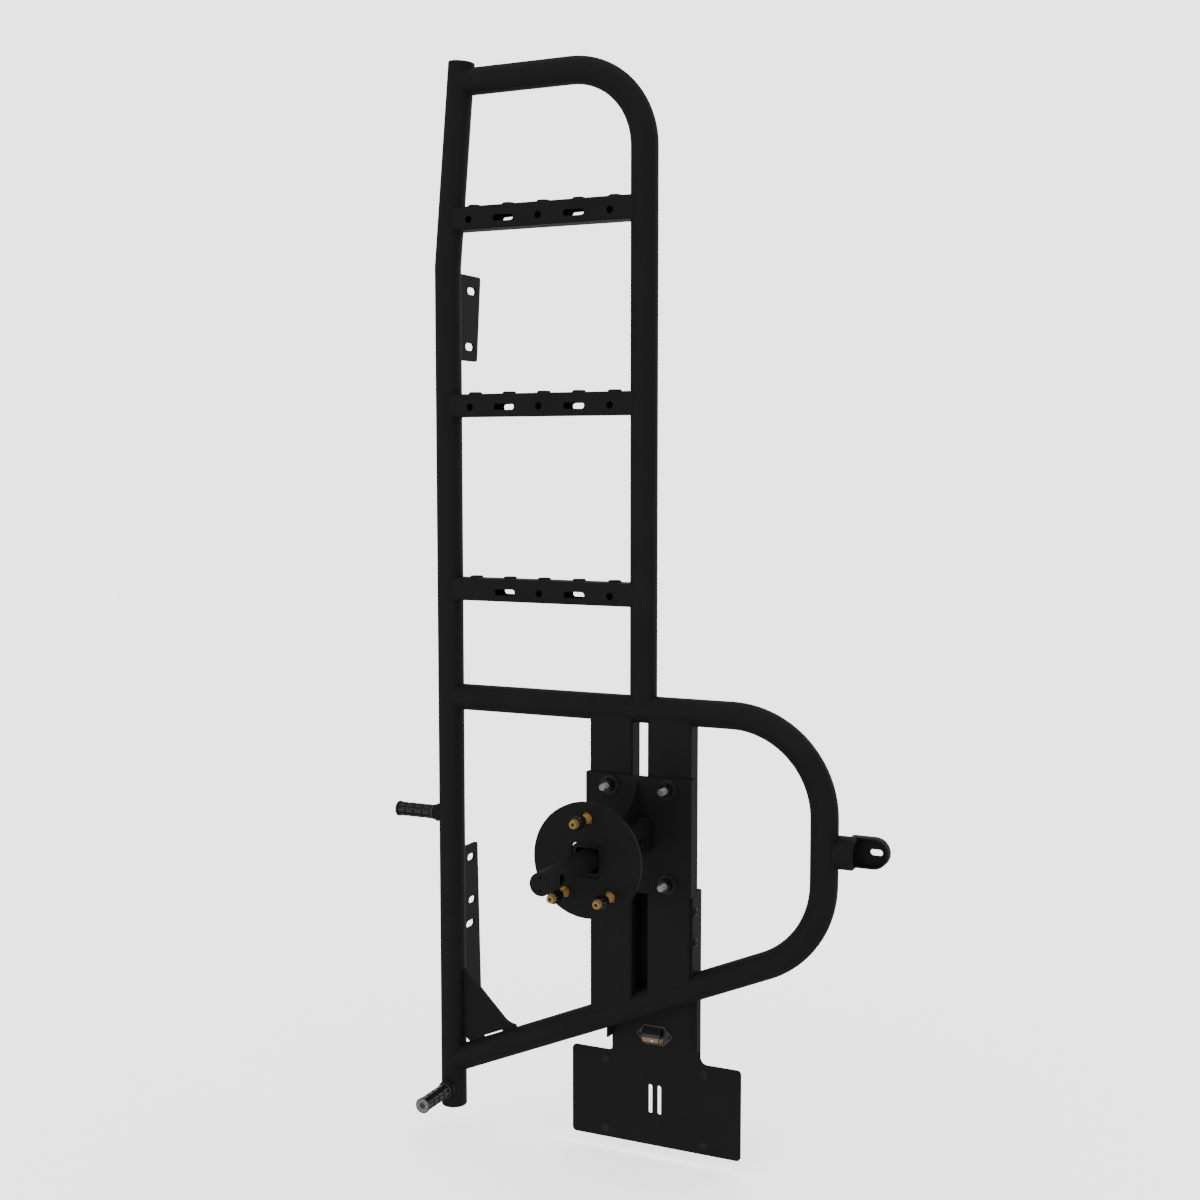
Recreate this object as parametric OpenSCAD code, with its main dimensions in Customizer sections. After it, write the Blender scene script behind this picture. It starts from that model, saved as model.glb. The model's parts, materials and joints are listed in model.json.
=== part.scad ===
// Van rear door ladder with a spare wheel carrier and a licence plate bracket.
// Millimetres. X runs to the right seen from behind the van, Y towards the van, Z up.
// Every node is drawn about the post axis and then shifted by frame_shift, so that
// the origin lies on the mounting face of the lower hinge plate.

/* [Tubes] */
// outside diameter of the post, hoop and loop tube
tube_od = 44.45; // [38:0.05:51]
// wall of the post, hoop and loop tube
tube_wall = 3; // [1.5:0.5:5]
// height of the post's top end above the axis of the hoop's top tube
post_above = 29.6; // [25:0.1:60]
// depth of the post's lower end below the foot of the sloped loop tube
post_below = 76.4; // [60:0.1:120]
// depth of the bend of the post below the top rung
bend_below = 76.6; // [50:0.1:120]
// lean of the upper post in degrees
post_lean = 5; // [0:0.1:10]

/* [Ladder hoop] */
// distance from the post axis to the hoop leg axis
leg_x = 361; // [330:0.5:400]
// height of the hoop's top tube above the top rung
hoop_above = 224.2; // [180:0.1:280]
// bend radius of the hoop
hoop_r = 129; // [100:1:160]

/* [Lower loop] */
// depth of the loop's top tube below the bottom rung
loop_below = 186.5; // [150:0.1:230]
// distance from the post axis to the loop end axis
loop_x = 668.9; // [600:0.1:720]
// depth at which the sloped tube meets the post, below the loop's top tube
loop_drop = 643.7; // [560:0.1:720]
// slope of the sloped loop tube in degrees
loop_slope = 23.1; // [15:0.1:30]
// bend radius of the loop
loop_r = 154; // [120:1:180]

/* [Rungs] */
// side of the square rung tube
rung_size = 38.1; // [30:0.1:45]
// wall of the rung tube
rung_wall = 2.5; // [1.5:0.5:4]
// outside corner radius of the rung tube
rung_corner = 3.5; // [3:0.5:6]
// height of the middle rung axis
rung_mid_z = 277.4; // [250:0.1:300]
// distance between rungs
rung_pitch = 308.8; // [280:0.1:330]
// distance between the holes along a rung
hole_pitch = 64.4; // [50:0.1:75]
// diameter of the round rung holes
rung_hole_d = 12; // [8:0.5:16]
// length of the rung slots
rung_slot_l = 38; // [20:0.5:50]
// height of the rung slots
rung_slot_h = 10.3; // [6:0.1:16]
// depth of the holes below the rung axis
rung_hole_drop = 3; // [0:0.5:8]
// diameter of the raised grip studs on a rung
grip_d = 24; // [16:1:30]
// height of the raised grip studs
grip_h = 3.5; // [1:0.5:6]

/* [Uprights] */
// width of each upright tube
upright_w = 76.2; // [60:0.1:90]
// depth of each upright tube
upright_d = 38.1; // [30:0.1:44]
// gap between the two uprights
upright_gap = 26.5; // [15:0.5:40]
// wall of the upright tube
upright_wall = 3; // [2:0.5:5]
// outside corner radius of the upright tube
upright_corner = 6; // [5.5:0.5:10]

/* [Wheel carrier] */
// depth of the wheel axis below the loop's top tube
wheel_drop = 202.1; // [180:0.1:240]
// thickness of the carrier plate
plate_t = 4; // [3:0.5:6]
// height of the carrier plate
plate_h = 193; // [150:1:230]
// depth of the side flanges of the carrier plate
plate_flange = 16; // [8:1:30]
// outside of the square socket tube
socket_size = 50.8; // [45:0.1:55]
// wall of the square socket tube
socket_wall = 6.35; // [3:0.05:8]
// outside corner radius of the socket tube
socket_corner = 9; // [7:0.5:12]
// clearance around the socket in the plate and in the disc
square_gap = 0.8; // [0.3:0.1:2]
// distance of the carrier bolts from the upper and lower edge of the plate
bolt_edge = 18.75; // [15:0.05:40]
// diameter of the carrier bolts
bolt_d = 12; // [8:1:16]
// diameter of the large washers
washer_d = 32.5; // [24:0.5:40]
// distance of the front face of the disc from the post axis
disc_y = 216; // [180:1:260]
// diameter of the wheel disc
disc_d = 180; // [165:1:220]
// thickness of the wheel disc
disc_t = 5; // [3:0.5:10]
// circle of the wheel lug studs
lug_pcd = 130; // [110:0.1:150]
// diameter of the wheel lug studs
lug_d = 14; // [10:0.5:16]
// length of the lug studs in front of the disc
lug_l = 49; // [40:1:70]
// outside diameter of the round wheel post
wheel_post_d = 35; // [30:0.5:38]
// distance of the end of the wheel post from the front face of the disc
wheel_post_l = 154; // [120:1:200]
// distance of the locking pin from the end of the wheel post
pin_inset = 36; // [20:1:60]
// diameter of the cross hole for the locking pin
pin_hole_d = 16; // [10:0.5:20]
// thickness of the gusset above the socket
carrier_gusset_t = 3; // [2:0.5:6]
// length of the gusset along the socket
carrier_gusset_l = 83.5; // [60:0.5:110]
// height of the gusset above the socket
carrier_gusset_h = 59.6; // [40:0.1:70]
// height of the gusset's toe
carrier_gusset_toe = 11.2; // [4:0.1:20]
// radius of the gusset's hollow edge
carrier_gusset_r = 90; // [80:1:140]

/* [Hinge plates] */
// thickness of the hinge plates
hinge_t = 5; // [3:0.5:8]
// height of the upper hinge plate
upper_hinge_h = 146.3; // [120:0.1:180]
// reach of the upper hinge plate at its lower and at its upper edge
upper_hinge_reach = [93.5, 107.5];
// height of the lower hinge plate
lower_hinge_h = 281.5; // [260:0.1:320]
// reach of the lower hinge plate at its lower and at its upper edge
lower_hinge_reach = [94.3, 84];
// height of the lower hinge plate above the foot of the sloped loop tube
lower_hinge_up = 89.6; // [60:0.1:120]
// corner radius of the hinge plates
hinge_corner = 5; // [2:0.5:8]
// height of the bolt slots
hinge_slot_h = 13; // [9:0.5:16]
// length of the bolt slots
hinge_slot_l = 31; // [20:0.5:36]

/* [Latch bracket] */
// outside diameter of the latch tube
latch_od = 52.8; // [50:0.1:58]
// wall of the latch tube
latch_wall = 5.5; // [3:0.5:7]
// distance of the latch tube's axis behind the post axis
latch_y = 10.3; // [6:0.1:14]
// reach of the latch tube from the axis of the loop end
latch_reach = 48.5; // [40:0.5:60]
// distance from the loop end axis to the middle of the tray's round end
latch_tray_x = 71.8; // [64:0.1:90]
// height of the tray
latch_tray_h = 48.6; // [40:0.1:50]
// depth of the tray
latch_tray_d = 16.7; // [10:0.1:20]
// wall of the tray
latch_tray_wall = 3; // [2:0.5:5]
// length of the bolt slot
latch_slot_l = 20.3; // [14:0.1:28]
// height of the bolt slot
latch_slot_h = 10.2; // [8:0.1:14]

/* [Licence bracket] */
// thickness of the bracket sheet
sheet_t = 3; // [2:0.1:4]
// width of the licence plate
licence_w = 304.8; // [280:0.1:330]
// height of the licence plate
licence_h = 152.4; // [145:0.1:170]
// distance of the screws across
licence_hole_x = 177.8; // [150:0.05:200]
// distance of the screws up and down
licence_hole_z = 120.65; // [100:0.05:125]
// depth of the plate centre below the sloped loop tube
licence_drop = 179.7; // [170:0.1:220]
// distance of the plate centre to the right of the wheel axis
licence_shift = 11.4; // [0:0.1:20]
// distance of the neck's left edge to the left of the wheel axis
neck_left = 66.7; // [50:0.1:80]
// depth of the lip on the neck's left edge
lip_d = 22.4; // [10:0.1:30]
// distance of the neck's top below the lower carrier bolts
neck_gap = 14; // [12:0.5:24]
// length and height of the two slots in the bracket
licence_slot = [50, 7];
// height of the lamp above the upper edge of the plate
lamp_up = 38; // [30:0.5:44]

/* [Pegs] */
// diameter of the rubber grip
peg_grip_d = 24.4; // [18:0.1:30]
// length of a peg from the tube surface
peg_l = 86; // [60:1:110]
// length of the collar and neck in front of the grip
peg_neck = 15; // [12:0.5:24]
// width of the grooves between the grip's rings
peg_groove = 2.2; // [1:0.1:4]
// depth of the side peg below the loop's top tube
side_peg_drop = 206.1; // [160:0.1:240]
// height of the rear peg above the post's lower end
rear_peg_up = 31.5; // [26:0.5:40]

/* [Hidden] */
$fn = 96;
r = tube_od / 2;
ri = r - tube_wall;
rung_top_z = rung_mid_z + rung_pitch;
rung_low_z = rung_mid_z - rung_pitch;
hoop_z = rung_top_z + hoop_above;
post_high = hoop_z + post_above;
post_bend_z = rung_top_z - bend_below;
lean_length = (post_high - post_bend_z) / cos(post_lean);
loop_top_z = rung_low_z - loop_below;
loop_low_z = loop_top_z - loop_drop;
post_low = loop_low_z - post_below;
loop_turn = 90 - loop_slope;
loop_corner_z = loop_low_z + loop_x * tan(loop_slope);
loop_run = loop_r * tan(loop_turn / 2);
loop_joint_z = loop_corner_z + loop_run;
slope_length = loop_x / cos(loop_slope) - loop_run;
pair_x = leg_x + 0.6;
left_x = pair_x - upright_gap / 2 - upright_w;
right_x = pair_x + upright_gap / 2;
flange_x = right_x + upright_w;
wheel_z = loop_top_z - wheel_drop;
front_y = -upright_d / 2 - plate_t;
back_y = upright_d / 2;
bolt_x = (upright_gap + upright_w) / 2;
bolt_z = plate_h / 2 - bolt_edge;
bolt_hole_r = bolt_d / 2 + 0.5;
socket_top = wheel_z + socket_size / 2;
socket_bore = socket_size - 2 * socket_wall;
socket_out = disc_y - 1.5;
wheel_post_end = disc_y + wheel_post_l;
lug_shoulder_r = lug_d / 2 + 1.2;
lug_hole_r = lug_shoulder_r + 1.6;
upper_hinge_z = post_bend_z - 6.8 - upper_hinge_h;
lower_hinge_z = loop_low_z + lower_hinge_up;
frame_shift = [hinge_t / 2, -62, -lower_hinge_z - 220];
latch_z = (loop_top_z - loop_r + loop_joint_z) / 2;
latch_back = latch_y + latch_od / 2;
sheet_y = r + 0.2;
screw_r = 3;
screw_hole_r = screw_r + 0.3;
licence_x = pair_x + licence_shift;
licence_z = loop_low_z + licence_x * tan(loop_slope) - licence_drop;
licence_top = licence_z + licence_h / 2;
neck_x = pair_x - neck_left;
flange_mid_z = loop_low_z + flange_x * tan(loop_slope);
flange_top = wheel_z - bolt_z - neck_gap;
lamp_z = licence_top + lamp_up;
side_peg_z = loop_top_z - side_peg_drop;
rear_peg_z = post_low + rear_peg_up;
hole_mid_x = leg_x / 2 - 1;
rung_inside = rung_size - 2 * rung_wall;
powder = [0.11, 0.11, 0.115];
dark = [0.08, 0.08, 0.085];

module placed() translate(frame_shift) children();
module along_x(x0, x1, rad) translate([x0, 0, 0]) rotate([0, 90, 0]) cylinder(r = rad, h = x1 - x0);
module along_y(y0, y1, rad) translate([0, y0, 0]) rotate([-90, 0, 0]) cylinder(r = rad, h = y1 - y0);

// the axis of the leaning upper post, with Z along it
module on_lean() translate([0, 0, post_bend_z]) rotate([0, post_lean, 0]) children();

// the post as a solid rod of radius rad, run on by extra at both ends; its two
// stretches meet on the mitre plane of the bend
module post_rod(rad, extra) {
  translate([0, 0, post_bend_z]) rotate([0, post_lean / 2, 0]) {
    mitred_rod(rad, lean_length + extra);
    mirror([0, 0, 1]) mitred_rod(rad, post_bend_z - post_low + extra);
  }
}

module mitred_rod(rad, l) {
  difference() {
    rotate([0, post_lean / 2, 0]) translate([0, 0, -10]) cylinder(r = rad, h = l + 10);
    translate([-50, -50, -100]) cube(100);
  }
}

module main_post() {
  color(powder) placed() difference() {
    post_rod(r, 0);
    post_rod(ri, 1);
  }
}

module post_top_cap() {
  color(powder) placed() on_lean() translate([0, 0, lean_length]) {
    rotate_extrude() polygon([[0, 0], [r, 0], [r, 2], [r - 1, 3], [0, 3]]);
    translate([0, 0, -8]) cylinder(r = ri, h = 8);
  }
}

module post_bottom_cap() {
  color(powder) placed() translate([0, 0, post_low]) {
    cylinder(r = ri, h = 8);
    rotate_extrude() polygon([[0, 0], [r, 0], [r, -1], [r - 1, -2.6], [r - 3, -3.4], [0, -3.4]]);
  }
}

// the hoop as a solid rod of radius rad, run on by extra at both ends
module hoop_rod(rad, extra) {
  translate([0, 0, hoop_z]) along_x(20 - extra, leg_x - hoop_r, rad);
  translate([leg_x - hoop_r, 0, hoop_z - hoop_r]) rotate([90, 0, 0])
    rotate_extrude(angle = 90) translate([hoop_r, 0]) circle(r = rad);
  translate([leg_x, 0, loop_top_z - extra]) cylinder(r = rad, h = hoop_z - hoop_r - loop_top_z + extra);
}

module ladder_hoop() {
  color(powder) placed() difference() {
    hoop_rod(r, 0);
    hoop_rod(ri, 1);
    on_lean() post_cut(lean_length);
    translate([0, 0, loop_top_z]) along_x(leg_x - 2 * r, leg_x + 2 * r, r);
  }
}

// the room of the post, with all that lies left of its axis
module post_cut(h) {
  cylinder(r = r, h = h);
  translate([-60, -30, 0]) cube([60, 60, h]);
}

// the upper part of the loop as a solid rod of radius rad, run on by extra at both ends
module loop_upper_rod(rad, extra) {
  translate([0, 0, loop_top_z]) along_x(-extra, loop_x - loop_r, rad);
  translate([loop_x - loop_r, 0, loop_top_z - loop_r]) rotate([90, 0, 0])
    rotate_extrude(angle = 90) translate([loop_r, 0]) circle(r = rad);
  translate([loop_x, 0, loop_joint_z - extra]) cylinder(r = rad, h = loop_top_z - loop_r - loop_joint_z + extra);
}

// the lower bend and the sloped tube as a solid rod, drawn about the bend's centre
module loop_lower_rod(rad, extra) {
  translate([loop_x - loop_r, 0, loop_joint_z]) rotate([90, 0, 0]) rotate([0, 0, -loop_turn]) {
    rotate_extrude(angle = loop_turn) translate([loop_r, 0]) circle(r = rad);
    translate([loop_r, 0, 0]) rotate([90, 0, 0]) cylinder(r = rad, h = slope_length + extra);
  }
}

// the axis of the sloped loop tube, with X along it
module on_slope() translate([0, 0, loop_low_z]) rotate([0, -loop_slope, 0]) children();

module loop_upper() {
  color(powder) placed() difference() {
    loop_upper_rod(r, 0);
    loop_upper_rod(ri, 1);
    translate([0, 0, post_low]) post_cut(post_bend_z - post_low);
  }
}

module loop_lower() {
  color(powder) placed() difference() {
    loop_lower_rod(r, 0);
    loop_lower_rod(ri, 1);
    translate([0, 0, post_low]) post_cut(post_bend_z - post_low);
  }
}

module rounded_rect(w, d, c) {
  translate([c - w / 2, -d / 2]) square([w - 2 * c, d]);
  translate([-w / 2, c - d / 2]) square([w, d - 2 * c]);
  for (sx = [-1, 1]) {
    for (sy = [-1, 1]) {
      translate([sx * (w / 2 - c), sy * (d / 2 - c)]) circle(r = c);
    }
  }
}

// a rounded bar built of boxes and cylinders, so that its surfaces stay exact
module exact_bar(w, d, h, c) {
  translate([-w / 2 + c, -d / 2, 0]) cube([w - 2 * c, d, h]);
  translate([-w / 2, -d / 2 + c, 0]) cube([w, d - 2 * c, h]);
  for (sx = [-1, 1]) {
    for (sy = [-1, 1]) {
      translate([sx * (w / 2 - c), sy * (d / 2 - c), 0]) cylinder(r = c, h = h);
    }
  }
}

// a rung between the post and the hoop leg, whose axis lies at height z
module rung(z, holes) {
  difference() {
    translate([0, 0, z]) union() {
      rotate([0, 90, 0]) difference() {
        exact_bar(rung_size, rung_size, leg_x, rung_corner);
        translate([0, 0, -1]) exact_bar(rung_inside, rung_inside, leg_x + 2, rung_corner - 1.5);
      }
      for (i = [-2:2]) {
        translate([leg_x / 2 + i * hole_pitch, 0, rung_size / 2])
          cylinder(r1 = grip_d / 2, r2 = grip_d / 2 - 2, h = grip_h);
      }
    }
    translate([hole_mid_x, 0, z - rung_hole_drop]) {
      for (i = holes) {
        translate([i * hole_pitch, 0, 0]) along_y(-30, 30, rung_hole_d / 2);
      }
      for (i = [-1, 1]) {
        translate([i * hole_pitch, 0, 0]) slot_y(rung_slot_l, rung_slot_h);
      }
    }
    translate([leg_x, 0, z - 60]) cylinder(r = r, h = 120);
  }
}

// a long hole through a wall that faces Y
module slot_y(l, h) {
  translate([-(l - h) / 2, 0, 0]) along_y(-30, 30, h / 2);
  translate([(l - h) / 2, 0, 0]) along_y(-30, 30, h / 2);
  translate([-(l - h) / 2, -30, -h / 2]) cube([l - h, 60, h]);
}

module rung_top() {
  color(powder) placed() difference() {
    rung(rung_top_z, [-2, 0, 2]);
    on_lean() post_cut(bend_below + 60);
  }
}

module rung_middle() {
  color(powder) placed() difference() {
    rung(rung_mid_z, [-2, 0, 2]);
    translate([0, 0, rung_mid_z - 60]) post_cut(120);
  }
}

module rung_bottom() {
  color(powder) placed() difference() {
    rung(rung_low_z, [0, 2]);
    translate([0, 0, rung_low_z - 60]) post_cut(120);
  }
}

// an upright between the loop's top tube and the sloped tube, with its left face at x
module upright(x) {
  low = loop_low_z + x * tan(loop_slope) - 10;
  h = loop_top_z - low;
  difference() {
    translate([x + upright_w / 2, 0, low]) difference() {
      exact_bar(upright_w, upright_d, h, upright_corner);
      translate([0, 0, -1]) exact_bar(upright_w - 2 * upright_wall, upright_d - 2 * upright_wall,
        h + 2, upright_corner - upright_wall);
    }
    translate([0, 0, loop_top_z]) along_x(0, loop_x, r);
    on_slope() along_x(0, loop_x, r);
    on_slope() translate([0, -30, -150]) cube([loop_x, 60, 150]);
    at_bolts() along_y(-30, 30, bolt_hole_r);
  }
}

module upright_left() {
  color(powder) placed() upright(left_x);
}

module upright_right() {
  color(powder) placed() difference() {
    upright(right_x);
    at_flange_screws() along_x(-10, 5, screw_r + 0.3);
  }
}

module at_bolts() {
  for (sx = [-1, 1]) {
    for (sz = [-1, 1]) {
      translate([pair_x + sx * bolt_x, 0, wheel_z + sz * bolt_z]) children();
    }
  }
}

// a square bar with rounded corners on the wheel axis, from y0 to y1
module square_bar(size, corner, y0, y1) {
  translate([pair_x, y0, wheel_z]) rotate([-90, 0, 0]) exact_bar(size, size, y1 - y0, corner);
}

module carrier_plate() {
  color(powder) placed() difference() {
    translate([left_x - plate_t, front_y, wheel_z - plate_h / 2]) difference() {
      cube([2 * (upright_w + plate_t) + upright_gap, plate_flange + plate_t, plate_h]);
      translate([plate_t, plate_t, -1]) cube([2 * upright_w + upright_gap, plate_flange + 1, plate_h + 2]);
    }
    square_bar(socket_size + 2 * square_gap, socket_corner - 1, front_y - 1, 0);
    at_bolts() along_y(front_y - 1, 0, bolt_hole_r);
  }
}

// the upper edge is hollow, an arc that ends level above the toe
module carrier_gusset() {
  color(powder) placed()
    translate([pair_x - carrier_gusset_t, front_y, socket_top]) rotate([90, 0, 90])
      linear_extrude(height = carrier_gusset_t) difference() {
        translate([-carrier_gusset_l, 0]) square([carrier_gusset_l, carrier_gusset_h]);
        translate([-carrier_gusset_l, carrier_gusset_toe + carrier_gusset_r]) circle(r = carrier_gusset_r);
      }
}

module carrier_socket() {
  color(powder) placed() difference() {
    square_bar(socket_size, socket_corner, -socket_out, -upright_d / 2);
    square_bar(socket_bore, socket_corner - 5.5, -socket_out - 1, 0);
    for (i = [0:2]) {
      translate([0, -52 - 19.4 * i, wheel_z]) along_x(pair_x, pair_x + 40, 4.5);
    }
  }
}

module wheel_disc() {
  color(powder) placed() difference() {
    translate([pair_x, 0, wheel_z]) along_y(-disc_y, -disc_y + disc_t, disc_d / 2);
    square_bar(socket_size + 2 * square_gap, socket_corner - 1, -disc_y - 1, -disc_y + disc_t + 1);
    at_lugs() along_y(-disc_y - 1, -disc_y + disc_t + 1, lug_hole_r);
  }
}

// a square block on its hidden end guides the round post in the socket
module wheel_post() {
  color(powder) placed() difference() {
    union() {
      translate([pair_x, 0, wheel_z]) along_y(-wheel_post_end + 3, -60, wheel_post_d / 2);
      square_bar(socket_bore, socket_corner - 5.5, -72, -60);
    }
    translate([pair_x, 0, wheel_z]) along_y(-wheel_post_end, -50, wheel_post_d / 2 - 3);
    translate([0, -wheel_post_end + pin_inset, wheel_z]) along_x(pair_x - 40, pair_x + 40, pin_hole_d / 2);
  }
}

module wheel_post_cap() {
  color(powder) placed() difference() {
    translate([pair_x, 0, wheel_z]) {
      along_y(-wheel_post_end, -wheel_post_end + 3, wheel_post_d / 2);
      along_y(-wheel_post_end + 3, -wheel_post_end + 9, wheel_post_d / 2 - 3);
    }
    for (s = [-1, 1]) {
      translate([pair_x, 0, wheel_z + s * 9.8]) along_y(-wheel_post_end - 1, -wheel_post_end + 10, 1.8);
    }
  }
}

module at_lugs() {
  for (a = [90, 234, 306]) {
    translate([pair_x + lug_pcd / 2 * cos(a), 0, wheel_z + lug_pcd / 2 * sin(a)]) children();
  }
}

// each stud has a shoulder in the disc's hole and a round flange behind the disc
module lug_studs() {
  color([0.62, 0.47, 0.2]) placed() at_lugs() difference() {
    union() {
      along_y(-disc_y - lug_l, -disc_y, lug_d / 2);
      along_y(-disc_y, -disc_y + disc_t, lug_shoulder_r);
      along_y(-disc_y + disc_t, -disc_y + disc_t + 7, lug_hole_r + 2.5);
    }
    translate([0, -disc_y - lug_l - 1, 0]) rotate([-90, 0, 0]) cylinder(r = 2.9, h = 7, $fn = 6);
  }
}

// each nut tapers to a cone that faces the wheel
module lug_nuts() {
  color(dark) placed() at_lugs() difference() {
    translate([0, -disc_y - lug_l + 7, 0]) rotate([-90, 0, 0]) {
      cylinder(r1 = lug_d / 2 + 1.8, r2 = lug_d / 2 + 3.6, h = 6);
      translate([0, 0, 6]) cylinder(r = lug_d / 2 + 3.6, h = 9);
      translate([0, 0, 15]) cylinder(r1 = lug_d / 2 + 3.6, r2 = lug_d / 2 + 1.3, h = 9);
    }
    along_y(-disc_y - lug_l, -disc_y, lug_d / 2);
  }
}

module carrier_bolts() {
  color([0.72, 0.73, 0.74]) placed() at_bolts() {
    along_y(front_y - 29, back_y + 1, bolt_d / 2);
    translate([0, back_y, 0]) rotate([-90, 0, 0]) cylinder(r = bolt_d / 2 + 4.4, h = 7.5, $fn = 6);
  }
}

module carrier_washers() {
  color(dark) placed() at_bolts() difference() {
    along_y(front_y - 2.5, front_y, washer_d / 2);
    along_y(front_y - 3, front_y + 1, bolt_d / 2);
  }
}

module carrier_nuts() {
  color(dark) placed() at_bolts() difference() {
    translate([0, front_y - 13.3, 0]) rotate([-90, 0, 0]) cylinder(r = bolt_d / 2 + 5, h = 10.8, $fn = 6);
    along_y(front_y - 20, front_y, bolt_d / 2);
  }
}

module slot_x(l, h) {
  translate([0, -(l - h) / 2, 0]) along_x(-10, 10, h / 2);
  translate([0, (l - h) / 2, 0]) along_x(-10, 10, h / 2);
  translate([-10, -(l - h) / 2, -h / 2]) cube([20, l - h, h]);
}

// the outline of a hinge plate from the post axis out, with two rounded corners;
// w holds its reach at the lower and at the upper edge
module hinge_outline(w, h) {
  c = hinge_corner;
  lean = (w[1] - w[0]) / h;
  l = sqrt(1 + lean * lean);
  side = [c / l, -c * lean / l];
  low = [w[0] + lean * c - c * l, c];
  high = [w[1] - lean * c - c * l, h - c];
  polygon([[10, 0], [low[0], 0], low + side, high + side, [high[0], h], [10, h]]);
  translate(low) circle(r = c);
  translate(high) circle(r = c);
}

// a hinge plate whose lower edge lies at height z, with slots at [y, height above z, length]
module hinge_plate(z, w, h, slots) {
  difference() {
    translate([-hinge_t / 2, 0, z]) rotate([90, 0, 90]) linear_extrude(height = hinge_t) hinge_outline(w, h);
    translate([0, 0, z - 1]) cylinder(r = r, h = h + 2);
    for (s = slots) {
      translate([0, s[0], z + s[1]]) slot_x(s[2], hinge_slot_h);
    }
  }
}

module hinge_plate_upper() {
  color(powder) placed() hinge_plate(upper_hinge_z, upper_hinge_reach, upper_hinge_h,
    [[77.3, upper_hinge_h - 26.1, hinge_slot_l], [69, 24.5, hinge_slot_l]]);
}

module hinge_plate_lower() {
  color(powder) placed() hinge_plate(lower_hinge_z, lower_hinge_reach, lower_hinge_h,
    [[61.5, 258.4, hinge_slot_l - 5.6], [64.8, 180.7, hinge_slot_l - 5.6], [57.8, 139, hinge_slot_l - 1]]);
}

// heights are measured from the foot of the sloped tube; the toe ends in an arc
module corner_gusset() {
  color(powder) placed() difference() {
    translate([0, 2.5, loop_low_z]) rotate([90, 0, 0]) linear_extrude(height = 5) difference() {
      polygon([[10, 165.9], [25, 165.9], [101.7, 90.1], [122.6, 90.1], [122.6, 81.6], [124.4, 77.6],
        [124.4, 61.6], [36, 36.6], [22.2, 47.6], [10, 47.6]]);
      translate([122.6, 111.6]) circle(r = 30);
      rotate([0, 0, loop_slope]) translate([77, r - 5]) square([38.2, 7.6]);
      rotate([0, 0, loop_slope]) translate([77, r + 1.2]) circle(r = 1.4);
      rotate([0, 0, loop_slope]) translate([115.2, r + 1.2]) circle(r = 1.4);
    }
    translate([0, 0, loop_low_z]) cylinder(r = r, h = 200);
    on_slope() along_x(0, 200, r);
  }
}

// the tray from y0 to y1 with its flat end at x, made smaller all round by inset
module tray(x, y0, y1, inset) {
  h = latch_tray_h / 2 - inset;
  translate([loop_x + latch_tray_x, 0, latch_z]) along_y(y0, y1, h);
  translate([loop_x + x, y0, latch_z - h]) cube([latch_tray_x - x, y1 - y0, 2 * h]);
}

// a stub of round tube with a tray at its back; the back of the tray rests on the
// door's latch plate and lies level with the back of the tube
module latch_bracket() {
  tray_y = latch_back - latch_tray_d;
  color(powder) placed() difference() {
    union() {
      translate([loop_x, latch_y, latch_z]) rotate([0, 90, 0]) {
        cylinder(r = latch_od / 2, h = latch_reach - latch_wall);
        translate([0, 0, latch_reach - latch_wall])
          cylinder(r1 = latch_od / 2, r2 = latch_od / 2 - latch_wall, h = latch_wall);
      }
      tray(latch_reach - 12, tray_y, latch_back, 0);
    }
    translate([0, latch_y, latch_z]) along_x(loop_x - 1, loop_x + latch_reach, latch_od / 2 - latch_wall);
    tray(latch_reach - 2, tray_y - 1, latch_back - latch_tray_wall - 1.5, latch_tray_wall);
    translate([loop_x, 0, latch_z - 60]) cylinder(r = r, h = 120);
    translate([loop_x + latch_tray_x + 2.3, 30, latch_z]) slot_y(latch_slot_l, latch_slot_h);
  }
}

// a peg along Z from the tube's surface: a collar, a neck and the pin inside the grip
module peg_core() {
  translate([0, 0, -8]) cylinder(r = peg_grip_d / 2 + 3.1, h = 14.5);
  translate([0, 0, 6.5]) cylinder(r1 = peg_grip_d / 2 + 3.1, r2 = peg_grip_d / 2 + 0.9, h = 2.5);
  translate([0, 0, 9]) cylinder(r = peg_grip_d / 2 - 0.4, h = peg_neck - 9);
  translate([0, 0, peg_neck]) cylinder(r = 8, h = peg_l - peg_neck - 3);
}

// the grip has four rings with grooves between them, and a flange at its end
module peg_grip() {
  pitch = (peg_l - 4 - peg_neck) / 4;
  difference() {
    union() {
      translate([0, 0, peg_neck]) cylinder(r = peg_grip_d / 2 - 1.2, h = peg_l - peg_neck - 1);
      for (i = [0:3]) {
        translate([0, 0, peg_neck + i * pitch + peg_groove]) cylinder(r = peg_grip_d / 2, h = pitch - peg_groove);
      }
      translate([0, 0, peg_l - 4]) cylinder(r = peg_grip_d / 2 + 1.2, h = 4);
    }
    translate([0, 0, peg_neck - 1]) cylinder(r = 8, h = peg_l - peg_neck - 2);
    translate([0, 0, peg_l - 4]) cylinder(r = 3, h = 5);
  }
}

module on_side() {
  translate([0, 0, side_peg_z]) rotate([0, -90, 0]) translate([0, 0, r]) children();
}

module on_rear() {
  translate([0, 0, rear_peg_z]) rotate([90, 0, 0]) translate([0, 0, r]) children();
}

module side_peg_core() {
  color(powder) placed() difference() {
    on_side() peg_core();
    translate([0, 0, side_peg_z - 40]) cylinder(r = r, h = 80);
  }
}

module side_peg_grip() {
  color([0.13, 0.13, 0.135]) placed() on_side() peg_grip();
}

module rear_peg_core() {
  color(powder) placed() difference() {
    on_rear() peg_core();
    translate([0, 0, rear_peg_z - 40]) cylinder(r = r, h = 80);
  }
}

module rear_peg_grip() {
  color([0.13, 0.13, 0.135]) placed() on_rear() peg_grip();
}

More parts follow.
